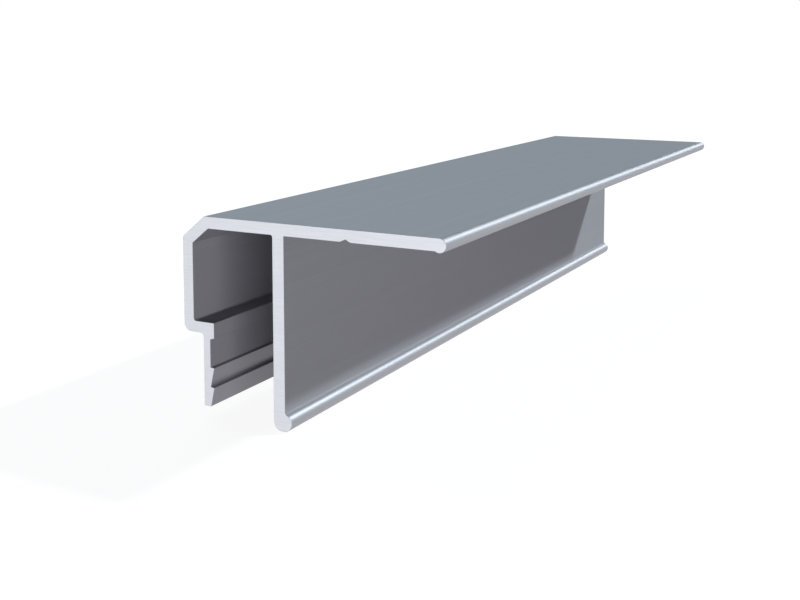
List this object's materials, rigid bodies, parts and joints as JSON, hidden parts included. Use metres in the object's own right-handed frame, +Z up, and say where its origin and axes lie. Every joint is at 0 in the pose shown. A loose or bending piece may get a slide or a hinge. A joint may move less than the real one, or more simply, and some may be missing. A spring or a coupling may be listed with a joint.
{
  "type": "stretch ceiling profile",
  "caption": "Straight extruded aluminium rail for a stretched ceiling sheet: flat screw-on flange with a beaded edge, a hanging web and a barbed slot that takes the hooked edge of the sheet.",
  "frame": {"origin": "middle of the part's box in X and Y, at the bottom of the web bead", "axes": "+Y along the length, away from the end that the picture shows, +Z up through the flange, +X across the section from the pocket wall to the flange's beaded edge"},
  "size_m": [0.0334, 0.116, 0.0234],
  "materials": {
    "mill_aluminium": "satin mill finish with fine lines along the length and sawn ends"
  },
  "bodies": {
    "root": {"ceiling_profile": "mill_aluminium"}
  },
  "joints": []
}
